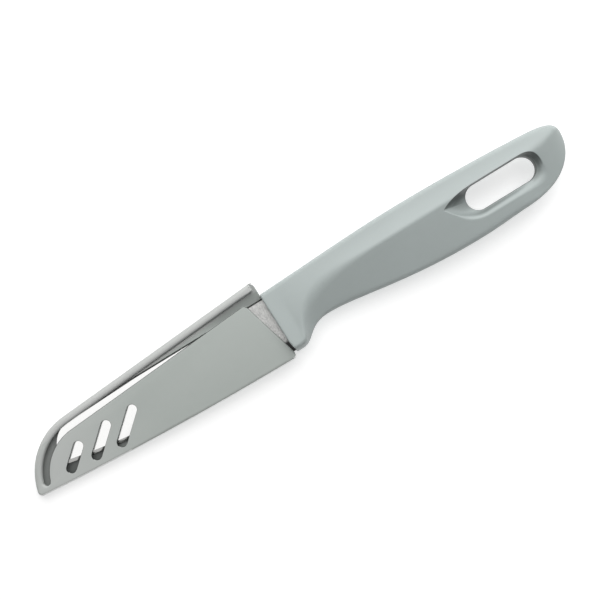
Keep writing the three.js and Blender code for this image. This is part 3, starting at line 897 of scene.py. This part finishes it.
def rail_end(side):
    """From outside the mouth round the end of the rail, to the start of its inner side"""
    tip = (RAIL_END, rail_at(RAIL_END))
    behind = (RAIL_END - RAIL_BEHIND, rail_at(RAIL_END - RAIL_BEHIND))
    inner = rounded_corner(tip, (RAIL_END, side[0, 1]), side[1], RAIL_END_ROUND)
    outer = rounded_corner(behind, tip, inner[0], RAIL_END_ROUND)
    over = tip[1] + RAIL_OVER
    return np.vstack([[(REACH, over), (RAIL_END - RAIL_END_ROUND, over)], outer, inner])


def slit_loop():
    """Outline of the slit, and how wide its edge is rolled at each point"""
    floor = inset(lower_line(), SLIT_FOOT)
    outer = inset(upper_line(RAIL_END), RAIL_WIDTH)
    inner = inset(upper_line(-MOUTH_CUT), RAIL_WIDTH + SLIT_WIDTH)
    spare = np.sum(outer[:, 1] < at(floor, outer[:, 0]) + SLIT_WIDTH / 2)
    outer, inner = outer[:-spare], inner[:-spare][::-1]
    half, middle = (inner[0] - outer[-1]) / 2, (inner[0] + outer[-1]) / 2
    away = np.array([half[1], -half[0]])
    turns = np.linspace(math.pi, 0, HALF_CIRCLE)[1:-1]
    foot = np.array([middle + half * math.cos(turn) + away * math.sin(turn) for turn in turns])
    low = np.array([MOUTH_X, FOOT_END[1] + MOUTH_FOOT])
    corner = rounded_corner(inner[-2], inner[-1], low, PLATE_CORNER)
    past = low + (low - inner[-1]) * MOUTH_PAST
    outer = np.vstack([rail_end(outer), outer[1:]])
    loop = np.vstack([outer, foot, inner[:-1], corner, [past], [(REACH, past[1])]])
    roll = np.full(len(loop), PLATE_ROLL)
    x = outer[:, 0]
    roll[:len(x)] = RAIL_ROLL * ease(x, RAIL_END, ROLL_SETTLED) + END_ROLL_WIDTH * ease(x, ROLL_SETTLED, RAIL_END)
    roll[len(x):len(x) + len(foot)] = np.linspace(RAIL_ROLL, PLATE_ROLL, len(foot))
    return loop, roll


def slit_cutter():
    loop, roll = slit_loop()
    rings = [level_ring(loop, SHELF)]
    for turn in np.linspace(0, ROLL_TURN, ROLL_STEPS):
        wide, high = roll * (1 - math.cos(turn)), SHEATH_HALF - roll * (1 - math.sin(turn))
        rings.append(columns(shrink(loop, -wide), high))
    clear = shrink(loop, -wide - ROLL_RISE * math.tan(ROLL_TURN))
    rings += [columns(clear, high + ROLL_RISE), level_ring(clear, REACH)]
    return stacked("slit_cutter", rings)


slit = slit_cutter()
print("slit cutter", len(slit.data.vertices), "points")

# %% [markdown]
# ## Vents
# Three slanted slots let the blade dry. They repeat at an even pitch and grow in length towards the handle, so
# Geometry Nodes make their cutters: a repeat zone draws one slot per turn, as a rectangle whose corners are
# filleted by half its width, and lifts it to a solid. The wires write this tree too.

# %% Tree of the vent cutters
VENT_SIZES = {"Count": "Int", "First": "Vector", "Pitch": "Vector", "Shortest": "Float", "Growth": "Float",
              "Width": "Float", "Slant": "Float", "Depth": "Float"}
FILLET_SHARE, FILLET_STEPS, FILLET_MERGE = 0.4999, 9, 0.001


def vent_tree(material):
    group = bpy.data.node_groups.new("vent_cutters", "GeometryNodeTree")
    tree = Tree(group)
    group.interface.new_socket("Geometry", in_out="OUTPUT", socket_type="NodeSocketGeometry")
    for name, kind in VENT_SIZES.items():
        group.interface.new_socket(name, in_out="INPUT", socket_type="NodeSocket" + kind)
    sizes = tree.nodes.new("NodeGroupInput").outputs
    count, first, pitch, shortest, growth, width, slant, depth = (Wire(tree, sizes[name]) for name in VENT_SIZES)
    begin, end = (tree.nodes.new("GeometryNodeRepeat" + side) for side in ("Input", "Output"))
    begin.pair_with_output(end)
    tree.links.new(count.socket, begin.inputs["Iterations"])
    turn, so_far = (Wire(tree, begin.outputs[name]) for name in ("Iteration", "Geometry"))

    def made(kind, mode=None, **sockets):
        return tree.node("GeometryNode" + kind, {"mode": mode} if mode else None, sockets)

    def vector(**parts):
        return tree.node("ShaderNodeCombineXYZ", None, parts)

    def joined(*parts):
        join = tree.nodes.new("GeometryNodeJoinGeometry")
        for part in parts:
            tree.links.new(part.socket, join.inputs[0])
        return Wire(tree, join.outputs[0])

    left = 1 - turn.maths("DIVIDE", turn, count - 1)
    length = shortest + growth * (1 - left * left)
    slot = made("CurvePrimitiveQuadrilateral", Width=length + width, Height=width)
    rounded = made("FilletCurve", "POLY", Curve=slot, Count=FILLET_STEPS, Radius=width * FILLET_SHARE)
    face = made("FillCurve", "NGONS", Curve=rounded)
    lifted = made("ExtrudeMesh", Mesh=face, Offset=vector(Z=depth), Individual=False)
    both = joined(lifted, made("FlipFaces", Mesh=face))
    solid = made("MergeByDistance", Geometry=both, Distance=FILLET_MERGE)
    outward = made("Transform", Geometry=solid, Translation=vector(X=length * 0.5))
    moved = tree.node("ShaderNodeVectorMath", {"operation": "SCALE"}, {0: pitch, "Scale": turn})
    place = tree.node("ShaderNodeVectorMath", {"operation": "ADD"}, {0: first, 1: moved})
    turned = made("Transform", Geometry=outward, Translation=place, Rotation=vector(Z=slant))
    tree.links.new(joined(so_far, turned).socket, end.inputs["Geometry"])
    real = made("RealizeInstances", Geometry=Wire(tree, end.outputs["Geometry"]))
    dressed = made("SetMaterial", Geometry=real, Material=material)
    tree.node("NodeGroupOutput", None, {"Geometry": dressed})
    return group


vents_tree = vent_tree(sheath_plastic)
print("tree with", len(vents_tree.nodes), "nodes")

# %% [markdown]
# The tree gets its sizes from the drawing. The first vent stands a fixed height above the sheath's underside,
# and the pitch follows the underside, so that the feet of the vents lie on a line beside it.

# %% Vent cutters from the tree
VENT_COUNT, VENT_WIDTH, VENT_PITCH = 3, 3.4, 9.4
VENT_SHORTEST, VENT_GROWTH, VENT_SLANT = 7.7, 3.6, math.radians(42)
VENT_FIRST_X, VENT_RISE = -83.15, 3.95


def vent_cutters():
    gaps = VENT_COUNT - 1
    first_foot, last_foot = at(lower_line(), [VENT_FIRST_X, VENT_FIRST_X + gaps * VENT_PITCH])
    first = (VENT_FIRST_X, first_foot + VENT_RISE, 0)
    pitch = (VENT_PITCH, (last_foot - first_foot) / gaps, 0)
    values = (VENT_COUNT, first, pitch, VENT_SHORTEST, VENT_GROWTH, VENT_WIDTH, VENT_SLANT, REACH)
    piece = placed("vent_cutters", bpy.data.meshes.new("vent_cutters"))
    modifier = piece.modifiers.new("vents", "NODES")
    modifier.node_group = vents_tree
    for name, value in zip(VENT_SIZES, values):
        modifier[vents_tree.interface.items_tree[name].identifier] = value
    applied(piece)
    return piece


vents = vent_cutters()
print("vents", len(vents.data.polygons), "faces")

# %% [markdown]
# The cutters go through the blank one after the other. A bevel then breaks every edge that they left by a
# fifth of a millimetre, as a mould does, and keeps the flat faces flat by hardening their normals.

# %% Cut the sheath and break its edges
CUT_MERGE, FLAT_ANGLE = 0.01, math.radians(0.5)
EDGE_BREAK, EDGE_STEPS, EDGE_ANGLE = 0.22, 3, math.radians(24)


def with_booleans(piece, tools):
    """Join or cut a piece with other pieces, which are used up"""
    for tool, operation in tools:
        modifier = piece.modifiers.new(tool.name, "BOOLEAN")
        modifier.operation = operation
        modifier.solver = "EXACT"
        modifier.object = tool
    applied(piece)
    for tool, _ in tools:
        bpy.data.objects.remove(tool)


def break_edges(piece):
    shell = bmesh.new()
    shell.from_mesh(piece.data)
    bmesh.ops.remove_doubles(shell, verts=shell.verts, dist=CUT_MERGE)
    bmesh.ops.dissolve_limit(shell, angle_limit=FLAT_ANGLE, verts=shell.verts, edges=shell.edges)
    shell.to_mesh(piece.data)
    shell.free()
    for face in piece.data.polygons:
        face.use_smooth = True
    bevel = piece.modifiers.new("edges", "BEVEL")
    bevel.width = EDGE_BREAK
    bevel.segments = EDGE_STEPS
    bevel.limit_method = "ANGLE"
    bevel.angle_limit = EDGE_ANGLE
    bevel.use_clamp_overlap = False
    bevel.harden_normals = True
    applied(piece)


with_booleans(sheath_shell, [(cutter, "DIFFERENCE") for cutter in (room, slit, vents)])
break_edges(sheath_shell)
print("cut sheath", len(sheath_shell.data.polygons), "faces")

# %% [markdown]
# The narrow places of the sheath are marked for its finish: painted shade on the walls of slit, mouth and vents,
# on the shelf beside the spine and on the floor of the room, and a painted highlight on the outer edge of the
# underside. How far a face lies from the outline tells the rail's faces from the plate's.

# %% Mark the sheath and finish it
STEEP_LOW, LEVEL = -0.4, 0.9
SHELF_LOW, SHELF_HIGH, PLATE_LOW = 0.1, 1, 0.6
PLATE_IN, RAIL_IN, RAIL_STEEP = RAIL_WIDTH + 0.6, 1.6, 0.55
RAILWARDS, RAIL_SHADE = np.array([-0.9, 0.8]), 0.5
RIM_DOWN, RIM_UP = -0.2, 0.2


def from_outline(x, y):
    """Distance of points from the sheath's outline"""
    run = np.roll(OUTLINE, -1, axis=0) - OUTLINE
    away = columns(x, y)[:, None, :] - OUTLINE
    share = np.clip(np.sum(away * run, axis=2) / np.sum(run * run, axis=1), 0, 1)
    return np.linalg.norm(away - share[..., None] * run, axis=2).min(axis=1)


def mark_sheath():
    middles, normals = faces_of(sheath_shell)
    x, y, z = middles.T
    facing = normals[:, 2]
    depth = from_outline(x, y)
    steep = (facing > STEEP_LOW) & (facing < LEVEL) & (z > 0)
    plate = (depth > PLATE_IN) & (z > PLATE_LOW)
    walls = steep & (plate | (facing < RAIL_STEEP)) & (depth > RAIL_IN)
    shade = np.where(plate, 1, np.clip(RAIL_SHADE + normals[:, :2] @ RAILWARDS, 0, 1))
    marks = {
        # painted shade on the walls of slit, mouth and vents
        "painted_shade": np.where(walls, shade, 0),
        "shelf": (facing > LEVEL) & (z > SHELF_LOW) & (z < SHELF_HIGH),
        "floor": (facing > LEVEL) & (z < 0),
        # painted highlight on the outer edge of the underside
        "painted_rim_highlight": steep & (depth < FOOT_BAND) & (normals[:, 1] < RIM_DOWN) & (facing > RIM_UP),
    }
    for name, values in marks.items():
        set_mark(sheath_shell, name, values)
        print(name, np.count_nonzero(values), "faces")


mark_sheath()
finished(sheath_shell, sheath_plastic)

# %% [markdown]
# ## The blade
# The blade is a sheet with a straight spine that falls a little before the tip, a rounded nose and a cutting edge
# that rises to meet it. A loft over many stations follows those lines: each section has a broken spine, two flats
# and the ground strip. At the root it leans back with the handle's front face.

# %% Loft of the blade
BLADE_LENGTH, BLADE_DEPTH, BLADE_HALF, BLADE_ROOT = 85.2, 20.3, 0.6, 0.1
EDGE_RISE, EDGE_BELLY, EDGE_HALF = 7.8, 2.4, 0.05
SPINE_STRAIGHT, SPINE_FALL, SPINE_BREAK, BREAK_SHARE = 50.0, 0.95, 0.2, 0.2
NOSE_LENGTH, TIP_HEIGHT = 8.2, 0.8
GRIND_HEIGHT, GRIND_SHARE = 1.2, 0.7
BODY_STATIONS, NOSE_STATIONS = 60, 44
NOSE_X = NOSE_LENGTH - BLADE_LENGTH
TIP_Y = EDGE_RISE - BLADE_DEPTH


def edge_y(x):
    return -BLADE_DEPTH + EDGE_RISE * np.clip(-x / BLADE_LENGTH, 0, 1) ** EDGE_BELLY


def spine_y(x):
    fall = -SPINE_FALL * np.clip((-SPINE_STRAIGHT - x) / (-SPINE_STRAIGHT - NOSE_X), 0, 1)
    low = TIP_Y + TIP_HEIGHT
    share = np.clip((NOSE_X - x) / NOSE_LENGTH, 0, 1)
    nose = low + (-SPINE_FALL - low) * np.sqrt(1 - share ** 2)
    return np.where(x < NOSE_X, nose, fall)


def blade_piece():
    body = np.linspace(BLADE_ROOT, NOSE_X, BODY_STATIONS)[:-1]
    nose = NOSE_X - NOSE_LENGTH * np.sin(np.linspace(0, math.pi / 2, NOSE_STATIONS))
    rings = []
    for x in np.concatenate([body, nose]):
        spine, edge = float(spine_y(x)), float(edge_y(x))
        grind = edge + min(GRIND_HEIGHT, GRIND_SHARE * (spine - edge))
        broken = min(SPINE_BREAK, BREAK_SHARE * (spine - grind))
        half = [(spine, BLADE_HALF - broken), (spine - broken, BLADE_HALF),
                (grind, BLADE_HALF), (edge, EDGE_HALF)]
        ring = half + [(y, -z) for y, z in reversed(half)]
        back = ease(x, -LEAN_FADE, BLADE_ROOT)
        rings.append([(x + back * front_lean(y), y, z) for y, z in ring])
    return stacked("blade_sheet", rings)


blade_sheet = blade_piece()
print("blade", len(blade_sheet.data.polygons), "faces")

# %% [markdown]
# Inside the handle the sheet goes on as a tang with two holes, which the plastic fills. It never shows, but the
# blade is one piece of steel, so it is joined on here with a boolean.

# %% Tang
TANG_START, TANG_END, TANG_TOP, TANG_FOOT, TANG_CORNER = -4.0, 58.0, -3.0, -12.0, 3.0
PEG_RADIUS, PEG_PLACES, PEG_STEPS, TANG_STEPS = 2.2, (10.0, 48.0), 32, 8


def tang_piece():
    sharp = [(0, TANG_TOP), (TANG_END, TANG_TOP), (TANG_END, TANG_FOOT), (0, TANG_FOOT)]
    top, low = (rounded_corner(*sharp[i:i + 3], TANG_CORNER, TANG_STEPS) for i in (0, 1))
    loop = np.vstack([[(TANG_START, TANG_FOOT)], low[::-1], top[::-1], [(TANG_START, TANG_TOP)]])
    return slab("tang", loop, BLADE_HALF)


def peg_hole(x):
    turns = np.linspace(0, 2 * math.pi, PEG_STEPS, endpoint=False)
    middle = (TANG_TOP + TANG_FOOT) / 2
    loop = columns(x + PEG_RADIUS * np.cos(turns), middle + PEG_RADIUS * np.sin(turns))
    return slab("peg_hole", loop, REACH)


with_booleans(blade_sheet, [(tang_piece(), "UNION")] + [(peg_hole(x), "DIFFERENCE") for x in PEG_PLACES])
finished(blade_sheet, blade_steel)

# %% [markdown]
# A blade has hard lines where its flats meet the grind, the spine and the root, so those edges are marked sharp.
# How far a face turns away from the broad side tells the sheared rim and the ground strip from the flats.

# %% Mark the blade's faces and its hard lines
SHEARED_BELOW, GROUND_BELOW = 0.8, 0.97
HARD_ANGLE = math.radians(4.5)


def mark_blade():
    facing = np.abs(faces_of(blade_sheet)[1][:, 2])
    set_mark(blade_sheet, "sheared", facing < SHEARED_BELOW)
    set_mark(blade_sheet, "ground", (facing >= SHEARED_BELOW) & (facing < GROUND_BELOW))
    shell = bmesh.new()
    shell.from_mesh(blade_sheet.data)
    hard = [edge for edge in shell.edges
            if len(edge.link_faces) == 2 and edge.calc_face_angle() > HARD_ANGLE]
    for edge in hard:
        edge.smooth = False
    shell.to_mesh(blade_sheet.data)
    print("hard lines on", len(hard), "edges")
    shell.free()


mark_blade()

# %% [markdown]
# ## Table and light
# The sheathed knife rests on the belly of its handle and on the nose of its sheath, so the table is tipped by
# about two degrees against the knife's own frame. The slope at which both touch is found by halving.

# %% Table under the knife
STEEPEST, HALVINGS = 0.2, 60


def rest_plane():
    """Height at x = 0 and slope of the table that touches handle and sheath from below"""
    clouds = [places_of(piece) for piece in (handle_skin, sheath_shell)]
    low, high = -STEEPEST, STEEPEST
    for _ in range(HALVINGS):
        slope = (low + high) / 2
        levels = [np.min(cloud[:, 2] - slope * cloud[:, 0]) for cloud in clouds]
        low, high = (slope, high) if levels[1] < levels[0] else (low, slope)
    return min(levels), slope


TABLE_LEVEL, TABLE_SLOPE = rest_plane()
print("table tipped by", round(math.degrees(math.atan(TABLE_SLOPE)), 2), "degrees")

# %% [markdown]
# The table is white. A plain white surface under this light would come out light grey, so it has a steady glow of
# its own. The rest of its brightness is the light that falls on it, so the knife's shadow stays. Far from the
# knife, where the lamp is weaker, the glow grows, and the table runs into the white sky without an edge.

# %% Floor
FLOOR_HALF = 0.7
FLOOR_COLOUR, FLOOR_GLOW = (0.64, 0.64, 0.64, 1), 0.57
WHITE, FAR_GLOW, FAR_RUN = (1, 1, 1, 1), (1.75, 1.75, 1.75, 1), (0.2, 0.6)


def white_table():
    material, tree = new_finish("white_table")
    far = tree.node("ShaderNodeVectorMath", {"operation": "LENGTH"}, {0: tree.places()}, out="Value")
    tree.surface({
        "Base Color": FLOOR_COLOUR, "Roughness": 1.0, "Specular IOR Level": 0.0,
        "Emission Color": tree.blend(tree.step(far, *FAR_RUN), WHITE, FAR_GLOW),
        "Emission Strength": FLOOR_GLOW})
    return material


def make_floor():
    signs = ((-1, -1), (1, -1), (1, 1), (-1, 1))
    corners = [(FLOOR_HALF * x, FLOOR_HALF * y, TABLE_LEVEL + TABLE_SLOPE * FLOOR_HALF * x) for x, y in signs]
    mesh = bpy.data.meshes.new("floor")
    mesh.from_pydata(corners, [], [(0, 1, 2, 3)])
    mesh.materials.append(white_table())
    return placed("floor", mesh)


floor = make_floor()
print("floor at", round(TABLE_LEVEL / MM, 2), "mm")

# %% [markdown]
# One large soft lamp stands on the spine's side, towards the handle's end, and a pale sky fills the shadows.
# That is why the back of the handle is light, the belly is darker, and a faint soft shadow lies below the edge.
# What the camera sees of the sky, also mirrored in the steel, is plain white.

# %% Lamp and sky
LAMP_POWER, LAMP_SIZE = 15.8, 1.3
LAMP_FROM = np.array([0.53, 0.848])
LAMP_DISTANCE, LAMP_HEIGHT = 0.62, 0.79
SKY_FILL, SEEN_RAYS = 0.08, ("Camera", "Glossy", "Transmission")


def make_lamp():
    lamp = placed("softbox", bpy.data.lights.new("softbox", "AREA"))
    lamp.data.energy = LAMP_POWER
    lamp.data.size = LAMP_SIZE
    lamp.location = (*(LAMP_FROM * LAMP_DISTANCE), LAMP_HEIGHT)
    tilt = math.atan2(LAMP_DISTANCE, LAMP_HEIGHT)
    lamp.rotation_euler = (-tilt, 0, math.atan2(-LAMP_FROM[0], LAMP_FROM[1]))
    return lamp


def make_sky():
    world = bpy.data.worlds.new("sky")
    world.use_nodes = True
    tree = Tree(world.node_tree)
    camera_ray, glossy, through = (tree.node("ShaderNodeLightPath", out=f"Is {ray} Ray") for ray in SEEN_RAYS)
    seen = through.maths("MAXIMUM", camera_ray.maths("MAXIMUM", camera_ray, glossy), through)
    dim, plain = (tree.node("ShaderNodeBackground", None, {"Color": WHITE, "Strength": strength})
                  for strength in (SKY_FILL, 1.0))
    mixed = tree.node("ShaderNodeMixShader", None, {0: seen, 1: dim, 2: plain})
    tree.node("ShaderNodeOutputWorld", None, {"Surface": mixed})
    bpy.context.scene.world = world


softbox = make_lamp()
make_sky()
print("softbox at", [round(v, 2) for v in softbox.location])

# %% [markdown]
# ## Hand over to the frame
# Each piece says which solid it stands for, which body it rides on and which finish of the record it has. Each
# rides on its body, and the solid it stands for is hidden.

# %% Bodies and slots
for piece, node, body, slot in (
        (handle_skin, "handle", "knife", "handle_plastic"),
        (blade_sheet, "blade", "knife", "blade_steel"),
        (sheath_shell, "sheath", "cover", "sheath_plastic")):
    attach(piece, body)
    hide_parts(node)
